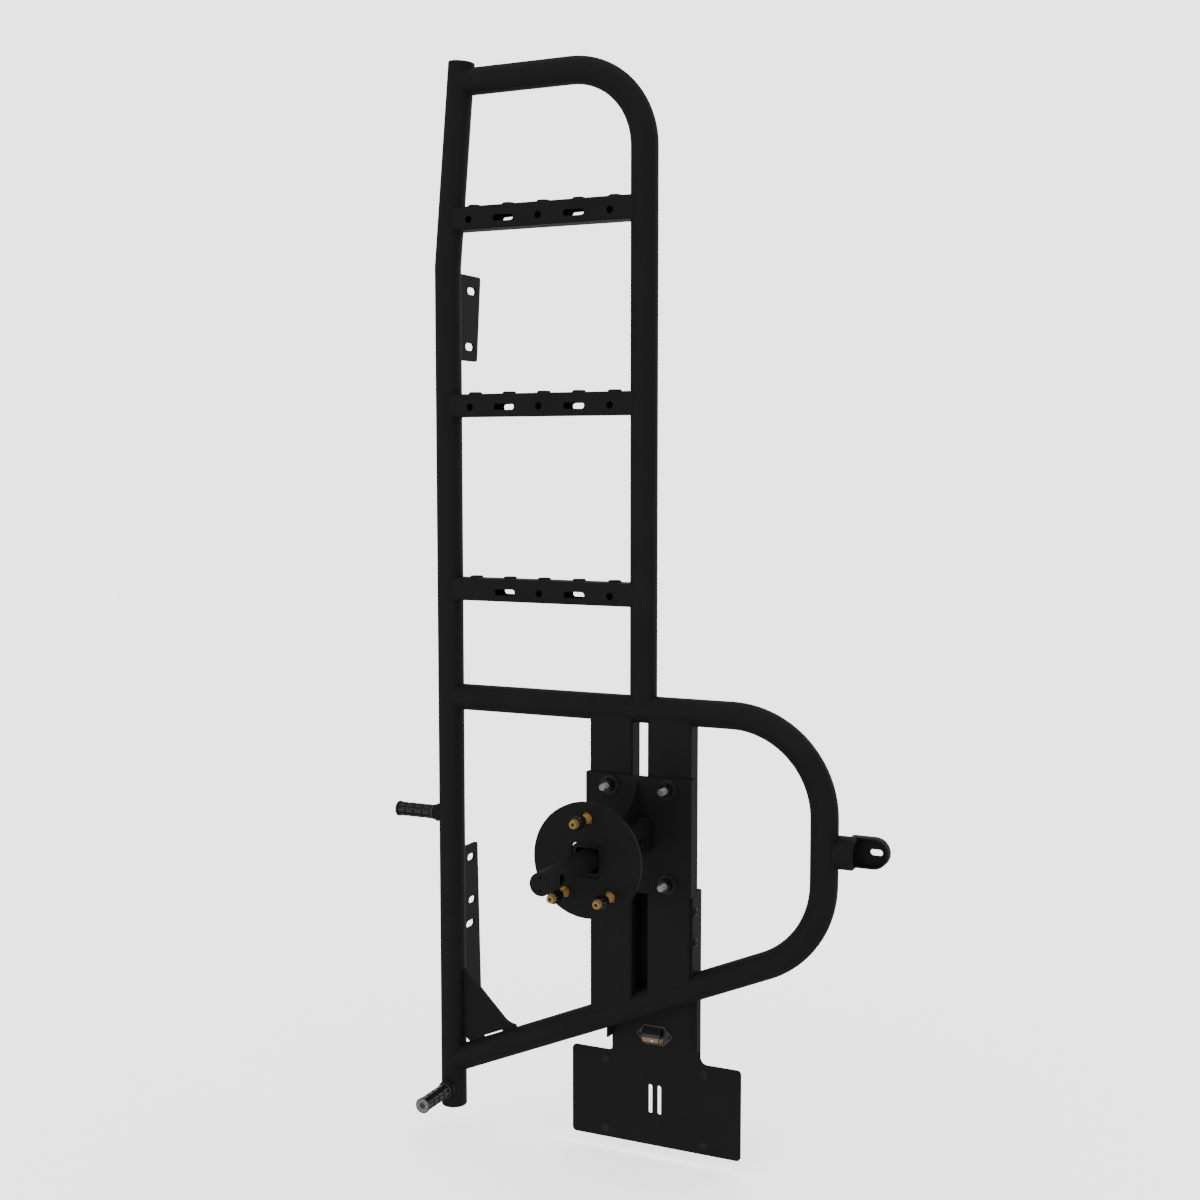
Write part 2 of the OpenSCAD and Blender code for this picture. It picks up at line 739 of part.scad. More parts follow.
module at_licence_screws() {
  for (sx = [-1, 1]) {
    for (sz = [-1, 1]) {
      translate([licence_x + sx * licence_hole_x / 2, 0, licence_z + sz * licence_hole_z / 2]) children();
    }
  }
}

// the two screws that hold the bracket to the side of the right upright
module at_flange_screws() {
  for (z = [31.5, 82.3]) {
    translate([flange_x, -2, flange_top - z]) children();
  }
}

module licence_bracket() {
  color(powder) placed() {
    licence_sheet();
    licence_flange();
    licence_lip();
  }
}

// the flat sheet behind the sloped tube, with two plain upright slots
module licence_sheet() {
  difference() {
    translate([0, sheet_y + sheet_t, 0]) rotate([90, 0, 0]) linear_extrude(height = sheet_t) licence_outline();
    at_licence_screws() along_y(0, 40, screw_hole_r);
    for (i = [-1, 1]) {
      translate([licence_x + i * 8, 10, licence_z + 3]) rotate([0, 90, 0]) slot_y(licence_slot[0], licence_slot[1]);
    }
  }
}

// the plate below and the neck above, with a hollow corner on either side
module licence_outline() {
  neck_right = flange_x + sheet_t;
  difference() {
    union() {
      translate([licence_x, licence_z]) rounded_rect(licence_w, licence_h, 7);
      translate([neck_x, licence_z]) square([neck_right - neck_x, flange_top - licence_z]);
      translate([neck_x - 6.5, licence_top - 1]) square([7, 7.5]);
      translate([neck_right - 1, licence_top - 1]) square([13, 13]);
    }
    translate([neck_x - 6.5, licence_top + 6.5]) circle(r = 6.5);
    translate([neck_right + 12, licence_top + 12]) circle(r = 12);
  }
}

// the flange is bent forward along the right upright, wide above the sloped tube and
// narrow below it, and its top clears the side of the carrier plate
module licence_flange() {
  low = licence_top + 25;
  wide_low = flange_mid_z - 21;
  plate_low = wheel_z - plate_h / 2;
  difference() {
    translate([flange_x, -13, low]) cube([sheet_t, 13 + sheet_y + sheet_t, flange_top - low]);
    translate([flange_x - 1, -14, low - 1]) cube([sheet_t + 2, 23, wide_low - low + 1]);
    translate([flange_x - 1, -14, plate_low - 1.5])
      cube([sheet_t + 2, 15.5 + front_y + plate_t + plate_flange, 300]);
    on_slope() along_x(0, loop_x, r + 0.6);
    on_slope() translate([0, -r - 0.6, -60]) cube([loop_x, r + 0.6, 60]);
    at_flange_screws() along_x(-1, 5, screw_hole_r);
  }
}

// the lip on the neck's left edge, between the sloped tube and the plate
module licence_lip() {
  low = licence_top + 29.6;
  high = loop_low_z + neck_x * tan(loop_slope);
  difference() {
    translate([neck_x, sheet_y - lip_d, low]) cube([sheet_t, lip_d + sheet_t, high - low]);
    on_slope() along_x(0, loop_x, r + 0.6);
  }
}

module licence_screws() {
  color(powder) placed() at_licence_screws() button_screw(sheet_y, 10);
}

// a flanged button head screw whose head rests on the face at y and points to the viewer
module button_screw(y, l) {
  translate([0, y, 0]) rotate([90, 0, 0]) difference() {
    union() {
      cylinder(r = 7.2, h = 1.2);
      translate([0, 0, 1.2]) cylinder(r1 = 5, r2 = 3.6, h = 2.4);
      translate([0, 0, -l]) cylinder(r = screw_r, h = l);
    }
    translate([0, 0, 1.6]) cylinder(r = 2.3, h = 3, $fn = 6);
  }
}

module bracket_screws() {
  color(powder) placed() at_flange_screws() translate([sheet_t, 0, 0]) rotate([0, 0, 90]) button_screw(0, 8);
}

// the lamp's foot is a flat hexagon with a screw hole at either end
module lamp_base() {
  color(dark) placed() difference() {
    translate([licence_x, sheet_y, lamp_z]) rotate([90, 0, 0]) linear_extrude(height = 2)
      polygon([[-33.5, 0], [-17.6, 16.6], [17.6, 16.6], [33.5, 0], [17.6, -16.6], [-17.6, -16.6]]);
    for (s = [-1, 1]) {
      translate([licence_x + s * 27.3, 0, lamp_z]) along_y(0, 40, 2.1);
    }
  }
}

// the hood slopes forward over the lens and wraps round its left side
module lamp_hood() {
  color(dark) placed() translate([licence_x - 17, sheet_y - 2, lamp_z]) rotate([90, 0, 90])
    linear_extrude(height = 33) polygon([[0, -1.2], [0, 11.4], [-3, 11.4], [-12.4, 5], [-12.4, -1.2]]);
}

module lamp_lens() {
  color([0.85, 0.8, 0.7]) placed() translate([licence_x - 16.4, sheet_y - 13.6, lamp_z - 11.2])
    cube([31.8, 11.6, 10]);
}

main_post();
post_top_cap();
post_bottom_cap();
ladder_hoop();
loop_upper();
loop_lower();
rung_top();
rung_middle();
rung_bottom();
upright_left();
upright_right();
carrier_plate();
carrier_gusset();
carrier_socket();
wheel_disc();
wheel_post();
wheel_post_cap();
lug_studs();
lug_nuts();
carrier_bolts();
carrier_washers();
carrier_nuts();
hinge_plate_upper();
hinge_plate_lower();
corner_gusset();
latch_bracket();
side_peg_core();
side_peg_grip();
rear_peg_core();
rear_peg_grip();
licence_bracket();
licence_screws();
bracket_screws();
lamp_base();
lamp_hood();
lamp_lens();
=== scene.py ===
"""Van rear door ladder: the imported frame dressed, in a pale studio, seen by the photograph's camera."""
import json
import math

import bmesh
import bpy
from mathutils import Matrix, Vector


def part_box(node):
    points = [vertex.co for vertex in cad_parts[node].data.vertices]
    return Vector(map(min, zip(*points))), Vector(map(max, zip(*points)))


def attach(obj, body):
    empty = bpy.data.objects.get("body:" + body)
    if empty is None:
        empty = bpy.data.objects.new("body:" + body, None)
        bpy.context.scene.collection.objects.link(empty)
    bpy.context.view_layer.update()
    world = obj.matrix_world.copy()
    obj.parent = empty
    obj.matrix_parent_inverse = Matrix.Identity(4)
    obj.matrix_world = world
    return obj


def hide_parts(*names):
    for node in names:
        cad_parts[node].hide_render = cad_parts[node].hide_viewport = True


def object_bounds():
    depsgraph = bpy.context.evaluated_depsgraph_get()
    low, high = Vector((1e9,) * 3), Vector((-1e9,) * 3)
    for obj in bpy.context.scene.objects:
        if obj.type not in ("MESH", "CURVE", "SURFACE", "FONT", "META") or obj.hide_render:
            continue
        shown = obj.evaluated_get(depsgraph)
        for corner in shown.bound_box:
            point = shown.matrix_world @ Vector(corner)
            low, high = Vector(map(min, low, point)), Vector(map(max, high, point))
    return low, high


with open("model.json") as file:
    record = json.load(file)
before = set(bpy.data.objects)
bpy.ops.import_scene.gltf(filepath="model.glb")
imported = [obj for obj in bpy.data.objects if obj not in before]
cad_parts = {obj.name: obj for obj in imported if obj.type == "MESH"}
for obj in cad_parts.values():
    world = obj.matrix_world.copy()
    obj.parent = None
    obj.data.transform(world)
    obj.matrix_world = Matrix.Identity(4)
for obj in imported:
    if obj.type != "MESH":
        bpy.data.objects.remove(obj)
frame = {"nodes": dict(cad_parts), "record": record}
cad_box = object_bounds()
nodes = frame["nodes"]

# Noise seldom leaves this range, so colours and roughness are spread over it.
NOISE_LOW = 0.3
NOISE_HIGH = 0.7


class Mat:
    """Builds one procedural material."""

    def __init__(self, name):
        self.mat = bpy.data.materials.new(name)
        self.mat.use_nodes = True
        self.tree = self.mat.node_tree
        self.bsdf = self.tree.nodes["Principled BSDF"]
        self.coord = self.tree.nodes.new("ShaderNodeTexCoord").outputs["Object"]

    def set(self, **values):
        for key, value in values.items():
            self.bsdf.inputs[key.replace("_", " ")].default_value = value

    def noise(self, scale, detail=4.0, rough=0.5):
        n = self.tree.nodes.new("ShaderNodeTexNoise")
        n.inputs["Scale"].default_value = scale
        n.inputs["Detail"].default_value = detail
        n.inputs["Roughness"].default_value = rough
        self.tree.links.new(self.coord, n.inputs["Vector"])
        return n.outputs["Fac"]

    def voronoi(self, scale):
        n = self.tree.nodes.new("ShaderNodeTexVoronoi")
        n.inputs["Scale"].default_value = scale
        self.tree.links.new(self.coord, n.inputs["Vector"])
        return n.outputs["Distance"]

    def wave(self, scale, direction):
        n = self.tree.nodes.new("ShaderNodeTexWave")
        n.bands_direction = direction
        n.inputs["Scale"].default_value = scale
        self.tree.links.new(self.coord, n.inputs["Vector"])
        return n.outputs["Fac"]

    def math(self, op, a, b):
        n = self.tree.nodes.new("ShaderNodeMath")
        n.operation = op
        for i, value in enumerate((a, b)):
            if isinstance(value, (int, float)):
                n.inputs[i].default_value = value
            else:
                self.tree.links.new(value, n.inputs[i])
        return n.outputs[0]

    def colour(self, source, *shades):
        """Colour the surface by source, from the first shade to the last."""
        n = self.tree.nodes.new("ShaderNodeValToRGB")
        ends = n.color_ramp.elements
        ends[0].position = NOISE_LOW
        ends[0].color = shades[0]
        ends[1].position = NOISE_HIGH
        ends[1].color = shades[-1]
        if len(shades) == 3:
            ends.new(0.5).color = shades[1]
        self.tree.links.new(source, n.inputs["Fac"])
        self.tree.links.new(n.outputs["Color"], self.bsdf.inputs["Base Color"])

    def roughness(self, source, low, high):
        """Spread the roughness by source, from low to high."""
        n = self.tree.nodes.new("ShaderNodeMapRange")
        n.inputs["From Min"].default_value = NOISE_LOW
        n.inputs["From Max"].default_value = NOISE_HIGH
        n.inputs["To Min"].default_value = low
        n.inputs["To Max"].default_value = high
        self.tree.links.new(source, n.inputs["Value"])
        self.tree.links.new(n.outputs["Result"], self.bsdf.inputs["Roughness"])

    def bump(self, height, strength, distance):
        n = self.tree.nodes.new("ShaderNodeBump")
        n.inputs["Strength"].default_value = strength
        n.inputs["Distance"].default_value = distance
        self.tree.links.new(height, n.inputs["Height"])
        self.tree.links.new(n.outputs["Normal"], self.bsdf.inputs["Normal"])


def grey(value):
    return (value, value, value, 1)


def powder_coat(m):
    """Fine textured black powder coat: a tight orange peel over a faint cloudiness."""
    grain = m.noise(1900, 2.0, 0.55)
    cloud = m.noise(14, 4.0, 0.6)
    peel = m.math("MULTIPLY", m.voronoi(1150), 0.7)
    tone = m.math("ADD", m.math("MULTIPLY", grain, 0.5), m.math("MULTIPLY", cloud, 0.5))
    m.colour(tone, grey(0.023), grey(0.028), grey(0.034))
    m.roughness(grain, 0.52, 0.68)
    m.bump(m.math("ADD", peel, grain), 0.35, 0.00006)
    m.set(Specular_IOR_Level=0.25)


def yellow_zinc(m):
    """Yellow passivated zinc, mottled from straw to a faint rose."""
    m.colour(m.noise(240, 4.0, 0.6), (0.62, 0.37, 0.09, 1), (0.78, 0.50, 0.15, 1), (0.82, 0.50, 0.19, 1))
    m.roughness(m.noise(900), 0.38, 0.52)
    m.bump(m.noise(1500), 0.1, 0.00003)
    m.set(Metallic=0.85)


def black_steel(m):
    """Black oxide steel with an oil sheen."""
    m.colour(m.noise(300), grey(0.010), grey(0.017))
    m.roughness(m.noise(1200), 0.16, 0.30)
    m.bump(m.noise(1700), 0.12, 0.00003)
    m.set(Specular_IOR_Level=0.9)


def nut_steel(m):
    """The carrier's nuts, a little duller than the wheel's."""
    m.colour(m.noise(300), grey(0.010), grey(0.018))
    m.roughness(m.noise(1200), 0.20, 0.34)
    m.bump(m.noise(1700), 0.12, 0.00003)
    m.set(Specular_IOR_Level=0.8)


def washer_steel(m):
    """The carrier's washers, duller than the nuts."""
    m.colour(m.noise(260), grey(0.034), grey(0.046))
    m.roughness(m.noise(1400), 0.42, 0.58)
    m.bump(m.noise(1800), 0.2, 0.00004)


def coated_screw(m):
    """Black coated screws, smoother than the powder coat round them."""
    m.colour(m.noise(320), grey(0.028), grey(0.040))
    m.roughness(m.noise(1300), 0.28, 0.42)
    m.bump(m.noise(1700), 0.12, 0.00003)
    m.set(Specular_IOR_Level=0.6)


def bright_zinc(m):
    """Bright zinc plating, slightly dull."""
    m.colour(m.noise(420), grey(0.54), grey(0.70))
    m.roughness(m.noise(1100), 0.30, 0.46)
    m.bump(m.noise(1600), 0.12, 0.00003)
    m.set(Metallic=0.9)


def grip_rubber(m):
    """Smooth moulded rubber with a soft sheen."""
    m.colour(m.noise(160), grey(0.030), grey(0.044))
    m.roughness(m.noise(800), 0.18, 0.30)
    m.bump(m.noise(1300), 0.2, 0.00005)
    m.set(Specular_IOR_Level=0.9)


def plug_pale(m):
    """The pale end plugs of the grips."""
    m.colour(m.noise(500), grey(0.44), grey(0.58))
    m.roughness(m.noise(1200), 0.34, 0.52)
    m.bump(m.noise(1500), 0.15, 0.00004)


def plug_grey(m):
    """The sunken middle of the plugs and the ring round the grip's neck."""
    m.colour(m.noise(450), grey(0.10), grey(0.15))
    m.roughness(m.noise(1200), 0.34, 0.52)
    m.bump(m.noise(1500), 0.15, 0.00004)


def lamp_plastic(m):
    """Smooth black plastic."""
    m.colour(m.noise(200), grey(0.045), grey(0.060))
    m.roughness(m.noise(1500), 0.24, 0.38)
    m.bump(m.noise(1800), 0.15, 0.00003)


def lamp_grey(m):
    """The lamp's satin grey foot and front band."""
    m.colour(m.noise(350), grey(0.095), grey(0.135))
    m.roughness(m.noise(1500), 0.36, 0.50)
    m.bump(m.noise(1800), 0.15, 0.00003)


def lamp_lens(m):
    """A milky moulded lens with fine upright flutes; its colour is painted with warm light from the reflector
    behind it and with light and dark bands along the flutes.
    """
    flutes_and_painted_bands = m.wave(55, "X")
    # The flute wave also bands the colour: painted light and shade of the flutes, over a painted warm glow
    # from the reflector.
    tone = m.math("ADD", m.math("MULTIPLY", flutes_and_painted_bands, 0.4), 0.3)
    m.colour(tone, (0.68, 0.47, 0.29, 1), (0.84, 0.63, 0.43, 1))
    m.roughness(m.noise(500), 0.08, 0.18)
    m.bump(flutes_and_painted_bands, 0.15, 0.0001)
    m.set(Transmission_Weight=0.35, IOR=1.46)


def reflector(m):
    """The warm reflector behind the lens."""
    m.colour(m.noise(120), (0.40, 0.27, 0.15, 1), (0.52, 0.37, 0.22, 1))
    m.roughness(m.noise(700), 0.30, 0.45)
    m.bump(m.noise(900), 0.1, 0.00004)


def diode(m):
    """The lamp's white light source."""
    m.colour(m.noise(400), grey(0.80), grey(0.92))
    m.roughness(m.noise(900), 0.20, 0.30)
    m.bump(m.noise(1200), 0.1, 0.00002)
    m.set(Emission_Color=(1, 0.98, 0.95, 1), Emission_Strength=1.1)


made = {}
for finish in (powder_coat, yellow_zinc, black_steel, nut_steel, washer_steel, coated_screw, bright_zinc,
               grip_rubber, plug_pale, plug_grey, lamp_plastic, lamp_grey, lamp_lens, reflector, diode):
    mat = Mat(finish.__name__)
    finish(mat)
    made[finish.__name__] = mat.mat

for part in frame["record"]["subparts"]:
    skin = nodes[part["node"]].data.materials
    skin.clear()
    skin.append(made[part["material_slot"]])


# From here to the studio, lengths are millimetres in the frame's own axes.
def box(name):
    """The lowest and the highest corner of a CAD node."""
    return [corner * 1000 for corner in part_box(name)]


# Edges of a plate that turn by more than this are rounded, so the arcs of its outline aren't.
SHARP = 0.7


def lathe(rings, count=48, shape=None):
    """A turned body from rings of (height, radius); shape(angle, height, radius) may change a radius."""
    verts = []
    faces = []
    starts = []
    for height, radius in rings:
        starts.append(len(verts))
        if radius == 0:
            verts.append(Vector((0, 0, height)))
            continue
        for i in range(count):
            angle = 2 * math.pi * i / count
            reach = shape(angle, height, radius) if shape else radius
            verts.append(Vector((reach * math.cos(angle), reach * math.sin(angle), height)))
    for k in range(len(rings) - 1):
        a, b = starts[k], starts[k + 1]
        for i in range(count):
            j = (i + 1) % count
            if rings[k][1] == 0:
                faces.append((a, b + j, b + i))
            elif rings[k + 1][1] == 0:
                faces.append((a + i, a + j, b))
            else:
                faces.append((a + i, a + j, b + j, b + i))
    return verts, faces


def slab(outline, depth, edge, holes=()):
    """A plate over a closed outline in XY, from Z 0 to depth, with its holes and rounded edges."""
    bm = bmesh.new()
    sides = []
    for loop in (outline, *holes):
        corners = [bm.verts.new((x, y, 0)) for x, y in loop]
        sides += [bm.edges.new((corners[i - 1], corners[i])) for i in range(len(corners))]
    bmesh.ops.triangle_fill(bm, use_beauty=True, edges=sides)
    grown = bmesh.ops.extrude_face_region(bm, geom=bm.faces[:])
    moved = [v for v in grown["geom"] if isinstance(v, bmesh.types.BMVert)]
    bmesh.ops.translate(bm, verts=moved, vec=(0, 0, depth))
    bmesh.ops.recalc_face_normals(bm, faces=bm.faces[:])
    sharp = [e for e in bm.edges if e.calc_face_angle(0) > SHARP]
    bmesh.ops.bevel(bm, geom=sharp, offset=edge, segments=2, affect="EDGES", clamp_overlap=True)
    bm.verts.index_update()
    verts = [v.co.copy() for v in bm.verts]
    faces = [tuple(v.index for v in f.verts) for f in bm.faces]
    bm.free()
    return verts, faces


def rounded(points, radii, steps=4):
    """A closed outline whose corners are rounded by their own radii."""
    out = []
    for i, radius in enumerate(radii):
        corner = Vector(points[i])
        before = (Vector(points[i - 1]) - corner).normalized()
        after = (Vector(points[(i + 1) % len(points)]) - corner).normalized()
        half = before.angle(after) / 2
        centre = corner + (before + after).normalized() * (radius / math.sin(half))
        start = corner + before * (radius / math.tan(half)) - centre
        sweep = start.angle_signed(corner + after * (radius / math.tan(half)) - centre)
        for k in range(steps + 1):
            w = -sweep * k / steps
            out.append((centre.x + start.x * math.cos(w) - start.y * math.sin(w),
                        centre.y + start.x * math.sin(w) + start.y * math.cos(w)))
    return out


def placed(body, origin, direction, roll=0.0):
    """The body with its foot at origin and its Z along direction."""
    turn = Vector(direction).to_track_quat("Z", "Y").to_matrix() @ Matrix.Rotation(roll, 3, "Z")
    return [turn @ v + Vector(origin) for v in body[0]], body[1]


def piece(name, bodies, finish, replaces=(), sharp=32):
    """One object from several bodies, riding on the part."""
    verts = []
    faces = []
    for body_verts, body_faces in bodies:
        faces += [tuple(i + len(verts) for i in f) for f in body_faces]
        verts += [v / 1000 for v in body_verts]
    mesh = bpy.data.meshes.new(name)
    mesh.from_pydata(verts, [], faces)
    bm = bmesh.new()
    bm.from_mesh(mesh)
    bmesh.ops.remove_doubles(bm, verts=bm.verts[:], dist=0.000002)
    bmesh.ops.recalc_face_normals(bm, faces=bm.faces[:])
    bm.to_mesh(mesh)
    bm.free()
    mesh.shade_smooth()
    mesh.set_sharp_from_angle(angle=math.radians(sharp))
    mesh.materials.append(made[finish])
    o = bpy.data.objects.new(name, mesh)
    bpy.context.scene.collection.objects.link(o)
    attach(o, "root")
    if replaces:
        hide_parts(*replaces)


def thread(low, high, radius, pitch, depth):
    """The rings of a thread between two heights."""
    rings = []
    turns = int((high - low) / pitch)
    for i in range(turns):
        h = low + i * pitch
        rings += [(h, radius - depth), (h + pitch * 0.38, radius), (h + pitch * 0.62, radius)]
    return rings + [(high, radius - depth)]


def off_middle(angle, sides):
    """How far an angle lies from the middle of the nearest of the even sides round a turn."""
    return (angle + math.pi / sides) % (2 * math.pi / sides) - math.pi / sides


def hexagon(corner):
    """A shape for lathe: whatever reaches past the flats is cut to a hexagon."""
    flat = corner * math.cos(math.pi / 6)

    def shape(angle, height, radius):
        if radius <= flat * 0.9:
            return radius
        return min(radius, flat / math.cos(off_middle(angle, 6)))
    return shape


# The wheel mount: every height runs from the disc's or the plate's front face to the viewer.
VIEWER = (0, -1, 0)
LUG_CIRCLE_R = 65
# The disc carries three studs of a five stud circle.
LUG_DEGREES = (90, 234, 306)
disc_low, disc_high = box("wheel_disc")
wheel_x = (disc_low.x + disc_high.x) / 2
wheel_z = (disc_low.z + disc_high.z) / 2
lugs = []
for degrees in LUG_DEGREES:
    spoke = math.radians(degrees)
    x = wheel_x + LUG_CIRCLE_R * math.cos(spoke)
    z = wheel_z + LUG_CIRCLE_R * math.sin(spoke)
    lugs.append((x, disc_low.y, z))

WASHER_R = 16.25
washer_low, washer_high = box("carrier_washers")
plate_y = washer_high.y
bolts = []
for x in (washer_low.x + WASHER_R, washer_high.x - WASHER_R):
    for z in (washer_low.z + WASHER_R, washer_high.z - WASHER_R):
        bolts.append((x, plate_y, z))


def lug_stud():
    """A flange behind the disc, a shoulder in it, a thread and a small hollow tip."""
    rings = [(-12, 0), (-12, 11.6), (-11.3, 12.3), (-5.6, 12.3), (-5, 11.8), (-5, 8.2), (-0.5, 8.2)]
    rings += [(0, 7.7), (0, 6.9)] + thread(0.8, 44.3, 6.95, 1.5, 0.55)
    rings += [(44.4, 6.9), (45.5, 6.9), (45.7, 5.9), (46.1, 5.9), (46.3, 6.2), (48.5, 6.2), (49, 5.7)]
    return lathe(rings + [(49, 2.9), (48.6, 2.5), (45.4, 2.4), (45, 0)], 56)


def lug_nut():
    """A spline drive nut: ridges all round, tapered at both ends."""
    def splines(angle, height, radius):
        if radius < 8.2 or not 18.5 < height < 41.5:
            return radius
        return radius - 1.5 / (1 + math.exp(0.9 - 9 * math.cos(10 * angle)))
    rings = [(18, 7.05), (18, 8.1), (18.4, 8.45), (26.2, 10.4), (27.2, 10.6), (30.6, 10.6), (31, 10.2)]
    rings += [(31.4, 10.6), (35.2, 10.6), (36.2, 10.45), (41, 9), (41.7, 8.6), (42, 8.1), (42, 7.05)]
    return lathe(rings + [(18, 7.05)], 120, splines)


def carrier_bolt():
    """A hexagon head behind the uprights and a threaded end with a chamfer."""
    rings = [(-49.6, 0), (-49.6, 8.8), (-49.2, 9.2), (-48.2, 10.4), (-43.1, 10.4), (-42.1, 9.4), (-42.1, 6)]
    rings += [(-0.5, 6)] + thread(0, 26.25, 6, 1.75, 0.62) + [(27.6, 5.9), (28.6, 5.1), (29, 4.7), (29, 0)]
    return lathe(rings, 72, hexagon(10.4))


def carrier_nut():
    """A plain hexagon nut, chamfered at its outer end."""
    rings = [(2.5, 6.1), (2.5, 10.2), (2.9, 10.97), (12.3, 10.97), (13.3, 9.6), (13.3, 6.9), (12.5, 6.1)]
    return lathe(rings + [(2.5, 6.1)], 72, hexagon(10.97))


def carrier_washer():
    rings = [(0, 6.4), (0, 15.9), (0.35, WASHER_R), (2.05, WASHER_R), (2.5, 15.7), (2.5, 6.9), (2.2, 6.4)]
    return lathe(rings + [(0, 6.4)], 96)


def stud_socket():
    """A black plug in a stud's tip: painted shade for the bottom of its key hole."""
    return lathe([(44.9, 0), (44.9, 2.35), (47, 2.35), (47, 0)], 6)


def on(places, body, roll=0.0):
    """The body at each of the places, every one rolled a little further."""
    return [placed(body, place, VIEWER, roll * i) for i, place in enumerate(places)]


piece("lug_stud_set", on(lugs, lug_stud()), "yellow_zinc", ["lug_studs"])
# Black plugs sit in the stud tips as painted shade at the bottom of their key holes.
piece("stud_socket_set", on(lugs, stud_socket()), "black_steel")
piece("spline_nut_set", on(lugs, lug_nut()), "black_steel", ["lug_nuts"], 40)
piece("bolt_set", on(bolts, carrier_bolt(), 0.15), "bright_zinc", ["carrier_bolts"])
piece("nut_set", on(bolts, carrier_nut(), 0.3), "nut_steel", ["carrier_nuts"])
piece("washer_set", on(bolts, carrier_washer()), "washer_steel", ["carrier_washers"])


# The button head screws of the licence bracket.
SCREW_R = 7.2
SCREW_H = 3.6
SOCKET_FLAT = 2.15


def button_screw(length):
    """A button head with a hexagon socket on its own washer; height runs out of the face it rests on."""
    def socket(angle, height, radius):
        if radius > 2.55 or height < 1.2:
            return radius
        return SOCKET_FLAT / math.cos(off_middle(angle, 6))
    rings = [(-length, 0), (-length, 2.6), (-length + 0.4, 3), (0, 3), (0, 7.2), (0.3, 7.5), (1, 7.5)]
    rings += [(1.3, 7.2), (1.3, 6), (0.5, 5.8), (0.5, 5.4), (1.5, 5.4), (2.3, 5.1), (3, 4.4), (3.4, 3.6)]
    rings += [(3.6, 2.9)]
    return lathe(rings + [(3.45, 2.5), (1.7, 2.4), (1.5, 0)], 60, socket)


low, high = box("licence_screws")
sheet_y = low.y + SCREW_H
columns = (low.x + SCREW_R, high.x - SCREW_R)
rows = (low.z + SCREW_R, high.z - SCREW_R)
corners = [(x, sheet_y, z) for x in columns for z in rows]
piece("licence_screw_set", on(corners, button_screw(10), 0.4), "coated_screw", ["licence_screws"])

low, high = box("bracket_screws")
pair = [(high.x - SCREW_H, (low.y + high.y) / 2, z) for z in (low.z + SCREW_R, high.z - SCREW_R)]
heads = [placed(button_screw(8), place, (1, 0, 0), 0.7) for place in pair]
piece("bracket_screw_set", heads, "coated_screw", ["bracket_screws"])


# The two pegs: every height runs from the tube's surface to the peg's tip.
PEG_L = 86
PEG_NECK = 15
PEG_R = 12.2
GROOVE_R = 9.5
BORE_R = 8.05
FLANGE = PEG_L - 4
PAD_RINGS = 4
PADS_ROUND = 8
PAD_HALF = math.radians(15.4)
PAD_EDGE = math.radians(1.6)


def grip():
    """A moulded sleeve of rings, each cut into pads, with a flange at its end."""
    pitch = (FLANGE - PEG_NECK) / PAD_RINGS
    rings = [(PEG_NECK, BORE_R), (PEG_NECK, GROOVE_R)]
    for i in range(PAD_RINGS):
        start = PEG_NECK + i * pitch
        end = start + pitch
        rings += [(start + 2, GROOVE_R), (start + 2.5, PEG_R - 0.5), (start + 3.2, PEG_R)]
        rings += [(start + pitch * 0.55, PEG_R + 0.1), (end - 1.4, PEG_R)]
        rings += [(end - 0.75, PEG_R - 0.5), (end - 0.3, GROOVE_R)]
    rings += [(FLANGE, GROOVE_R), (FLANGE, 12.6), (PEG_L - 3.5, 13.3), (PEG_L - 1.2, 13.4)]
    rings += [(PEG_L - 0.5, 13), (PEG_L - 0.45, 12.4), (PEG_L - 2.6, 12.2), (PEG_L - 2.6, BORE_R)]
    rings += [(PEG_NECK, BORE_R)]

    def pads(angle, height, radius):
        if radius <= GROOVE_R or height > FLANGE - 0.5:
            return radius
        edge = (abs(off_middle(angle, PADS_ROUND)) - PAD_HALF) / PAD_EDGE
        return GROOVE_R + (radius - GROOVE_R) / (1 + math.exp(4 * edge))
    return lathe(rings, 240, pads)


def plug():
    """A pale ring round a sunken middle, in the end of the grip."""
    rings = [(PEG_L - 2.6, 0), (PEG_L - 2.6, 12.1), (PEG_L - 0.7, 12.1), (PEG_L - 0.25, 11.7)]
    rings += [(PEG_L - 0.05, 10.9), (PEG_L - 0.05, 6), (PEG_L - 0.3, 5.5), (PEG_L - 1.6, 5.2)]
    return lathe(rings + [(PEG_L - 1.6, 0)], 96)


def plug_middle():
    rings = [(PEG_L - 1.7, 0), (PEG_L - 1.7, 5), (PEG_L - 0.9, 4.9), (PEG_L - 0.7, 4.5), (PEG_L - 0.7, 0)]
    return lathe(rings, 64)


def plug_tick(angle):
    """A short dark mark on the plug, pointing to its middle."""
    c, s = math.cos(angle), math.sin(angle)
    mark = ((8.6, -0.7), (10.8, -0.7), (10.8, 0.7), (8.6, 0.7))
    outline = [(x * c - y * s, x * s + y * c) for x, y in mark]
    verts, faces = slab(outline, 0.6, 0.1)
    return [v + Vector((0, 0, PEG_L - 0.6)) for v in verts], faces


def neck_ring():
    rings = [(11.6, 12), (11.6, 12.6), (12.1, 13), (14.2, 13), (14.7, 12.6), (14.7, 12), (11.6, 12)]
    return lathe(rings, 72)


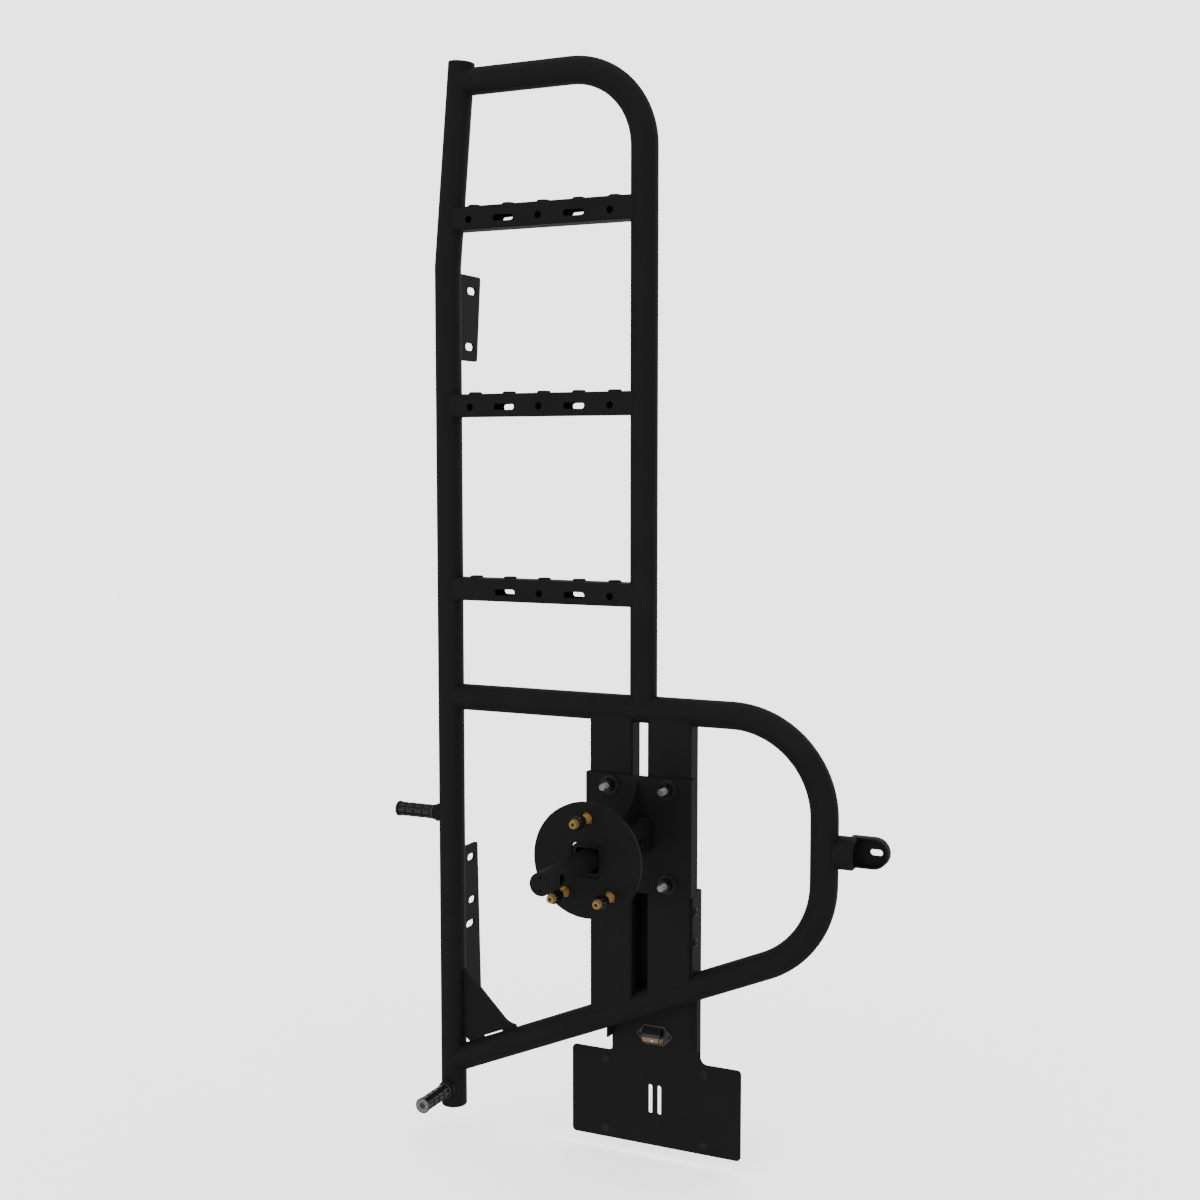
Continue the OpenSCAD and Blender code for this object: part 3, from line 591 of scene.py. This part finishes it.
side_low, side_high = box("side_peg_grip")
rear_low, rear_high = box("rear_peg_grip")
side_foot = (side_low.x + PEG_L, (side_low.y + side_high.y) / 2, (side_low.z + side_high.z) / 2)
rear_foot = ((rear_low.x + rear_high.x) / 2, rear_low.y + PEG_L, (rear_low.z + rear_high.z) / 2)
ticks = [plug_tick(math.pi * (2 * i + 1) / 8) for i in range(8)]
for side, foot, way in (("side", side_foot, (-1, 0, 0)), ("rear", rear_foot, VIEWER)):
    piece(side + "_grip_sleeve", [placed(grip(), foot, way)], "grip_rubber", [side + "_peg_grip"], 28)
    piece(side + "_neck_ring", [placed(neck_ring(), foot, way)], "plug_grey")
    piece(side + "_plug", [placed(plug(), foot, way)], "plug_pale")
    piece(side + "_plug_middle", [placed(plug_middle(), foot, way)], "plug_grey")
    piece(side + "_plug_ticks", [placed(tick, foot, way) for tick in ticks], "grip_rubber")


# The licence lamp: profiles are (reach in front of the foot, height above the lamp's middle).
FOOT_T = 1.9
low, high = box("lamp_base")
lamp_x = (low.x + high.x) / 2
lamp_z = (low.z + high.z) / 2
foot_y = high.y
face_y = high.y - FOOT_T
HOOD_LEFT = -18.4
HOOD_RIGHT = 16.2
HOLE_X = 27.3
HOLE_R = 2.9
LEFT_CHEEK = 1.6
RIGHT_CHEEK = 2.6
BAND_SHORT = 3
WINDOW_INSET = 0.7
REFLECTOR_INSET = 1.6
DIODE_X = -0.3
DIODE_REACH = 8.9
DIODE_Z = -6.6


def circle(x, radius, count=32):
    """A round outline whose middle lies at x."""
    turns = [2 * math.pi * i / count for i in range(count)]
    return [(x + radius * math.cos(turn), radius * math.sin(turn)) for turn in turns]


def facing(body, x, y, z):
    """Local X to the right, local Y up and local Z towards the viewer."""
    return [Vector((lamp_x + x + v.x, y - v.z, lamp_z + z + v.y)) for v in body[0]], body[1]


def along(outline, left, right, edge):
    """A profile run from left to right across the lamp."""
    verts, faces = slab(outline, right - left, edge)
    return [Vector((lamp_x + left + v.z, face_y - v.x, lamp_z + v.y)) for v in verts], faces


hexagonal = [(-33.5, 0), (-17.6, -16.6), (17.6, -16.6), (33.5, 0), (17.6, 16.6), (-17.6, 16.6)]
outline = rounded(hexagonal, [3, 3.5, 3.5, 3, 3.5, 3.5])
foot_body = slab(outline, FOOT_T, 0.45, [circle(-HOLE_X, HOLE_R), circle(HOLE_X, HOLE_R)])
piece("lamp_foot", [facing(foot_body, 0, foot_y, 0)], "lamp_grey", ["lamp_base"])

# Black screw heads sunk in the foot's holes; their darkness also stands as painted shade in the holes.
screw = lathe([(0, 0), (0, 2.5), (0.4, 2.5), (0.8, 1.8), (1, 0.8), (1, 0)], 32)
screws = [facing(screw, x, foot_y, 0) for x in (-HOLE_X, HOLE_X)]
piece("lamp_screws", screws, "black_steel")

roof = rounded([(0.1, 5.2), (10.6, 1.6), (12.4, 4.8), (3.2, 13.4), (0.1, 13.4)], [0.4, 0.5, 1, 1.6, 0.4])
cheek = rounded([(0.1, -1.2), (12.4, -1.2), (12.4, 4.8), (3.2, 13.4), (0.1, 13.4)], [0.4, 0.8, 1.4, 2.2, 0.4])
hood = [along(roof, HOOD_LEFT, HOOD_RIGHT, 0.35)]
hood.append(along(cheek, HOOD_LEFT, HOOD_LEFT + LEFT_CHEEK, 0.35))
hood.append(along(cheek, HOOD_RIGHT - RIGHT_CHEEK, HOOD_RIGHT, 0.35))
piece("lamp_roof", hood, "lamp_plastic", ["lamp_hood"])

band = rounded([(9.2, -1.3), (12.4, -1.3), (12.4, 5), (9.2, 5)], [0.4, 0.7, 0.9, 0.4], 3)
piece("lamp_band", [along(band, HOOD_LEFT, HOOD_RIGHT - BAND_SHORT, 0.3)], "lamp_grey")

window = [(0.4, -10.2), (8.8, -10.2), (10.8, -8.4), (10.8, -1.4), (0.4, -1.4)]
window = rounded(window, [0.4, 1.2, 0.8, 0.3, 0.4], 3)
pane = along(window, HOOD_LEFT + WINDOW_INSET, HOOD_RIGHT - WINDOW_INSET, 0.28)
piece("lamp_window", [pane], "lamp_lens", ["lamp_lens"])

back = [(0.5, -9.6), (1.6, -9.6), (1.6, -1.8), (0.5, -1.8)]
mirror = along(back, HOOD_LEFT + REFLECTOR_INSET, HOOD_RIGHT - REFLECTOR_INSET, 0.2)
piece("lamp_reflector", [mirror], "reflector")

divider = rounded([(7.6, -9.6), (11, -9), (11.6, -1.2), (7.6, -1.2)], [0.3, 0.5, 0.3, 0.3], 3)
piece("lamp_divider", [along(divider, HOOD_RIGHT - 4.6, HOOD_RIGHT - 2.8, 0.25)], "lamp_plastic")

bulb = lathe([(0, 0), (0, 1.4), (1.2, 1.4), (1.9, 1), (2.2, 0)], 32)
piece("lamp_diode", [facing(bulb, DIODE_X, face_y - DIODE_REACH, DIODE_Z)], "diode")


# The studio: a backdrop that only the camera sees, soft lights and an even surround.
WHITE = 3.0
SURROUND = 0.28
FLOOR_GAP = 0.02
floor_z = cad_box[0][2] - FLOOR_GAP
middle = Vector([(a + b) / 2 for a, b in zip(*cad_box)])


def unlit(name, painted_shadow_depth):
    """A white emission; its second argument is how far a painted soft shadow dims it where the object stands
    close above it.
    """
    m = bpy.data.materials.new(name)
    m.use_nodes = True
    tree = m.node_tree
    tree.nodes.remove(tree.nodes["Principled BSDF"])
    glow = tree.nodes.new("ShaderNodeEmission")
    glow.inputs["Strength"].default_value = WHITE
    tree.links.new(glow.outputs[0], tree.nodes["Material Output"].inputs["Surface"])
    # Ambient occlusion dims the glow under the object: a painted contact shadow.
    if painted_shadow_depth:
        near = tree.nodes.new("ShaderNodeAmbientOcclusion")
        near.samples = 12
        near.inputs["Distance"].default_value = 1.2
        painted_shadow = tree.nodes.new("ShaderNodeMapRange")
        painted_shadow.inputs["From Min"].default_value = 0.4
        painted_shadow.inputs["To Min"].default_value = WHITE * (1 - painted_shadow_depth)
        painted_shadow.inputs["To Max"].default_value = WHITE
        tree.links.new(near.outputs["AO"], painted_shadow.inputs["Value"])
        tree.links.new(painted_shadow.outputs["Result"], glow.inputs["Strength"])
    return m


def backdrop(name, painted_shadow_depth):
    """Name the newest object and hide it from all but the camera, so that it lights nothing."""
    o = bpy.context.object
    o.name = name
    o.data.materials.append(unlit(name, painted_shadow_depth))
    o.visible_diffuse = False
    o.visible_glossy = False
    o.visible_shadow = False


def area(name, place, size, power):
    """A rectangular light aimed at the object's middle."""
    data = bpy.data.lights.new(name, "AREA")
    data.shape = "RECTANGLE"
    data.size, data.size_y = size
    data.energy = power
    o = bpy.data.objects.new(name, data)
    o.location = place
    o.rotation_euler = (middle - Vector(place)).to_track_quat("-Z", "Y").to_euler()
    bpy.context.scene.collection.objects.link(o)


# The floor's glow carries a painted soft shadow under the object; the wall has none.
bpy.ops.mesh.primitive_plane_add(size=70, location=(0, 0, floor_z))
backdrop("studio_floor", 0.4)
bpy.ops.mesh.primitive_uv_sphere_add(radius=34, segments=48, ring_count=24, location=(0, 0, floor_z))
backdrop("studio_wall", 0)

area("key", (-2.6, -5.6, 0.3), (8, 8), 40)
area("back", (0.4, 5, 0.8), (9, 7), 84)
area("fill", (4, -4.6, 0.6), (4, 6), 20)
area("top", (0.4, -0.5, 5), (6, 6), 26)

world = bpy.data.worlds.new("studio")
world.use_nodes = True
world.node_tree.nodes["Background"].inputs["Color"].default_value = (1, 1, 1, 1)
world.node_tree.nodes["Background"].inputs["Strength"].default_value = SURROUND
bpy.context.scene.world = world

# The photograph's camera, fitted to the outlines of the post, the hoop and the loop.
lens = bpy.data.cameras.new("camera")
lens.sensor_fit = "HORIZONTAL"
lens.sensor_width = 36
lens.lens = 48.833
lens.clip_start = 0.05
lens.clip_end = 100
eye = bpy.data.objects.new("camera", lens)
eye.location = (1.41320, -2.46905, 0.73768)
eye.rotation_euler = (math.radians(85.098), 0, math.radians(25.109))
bpy.context.scene.collection.objects.link(eye)
bpy.context.scene.camera = eye
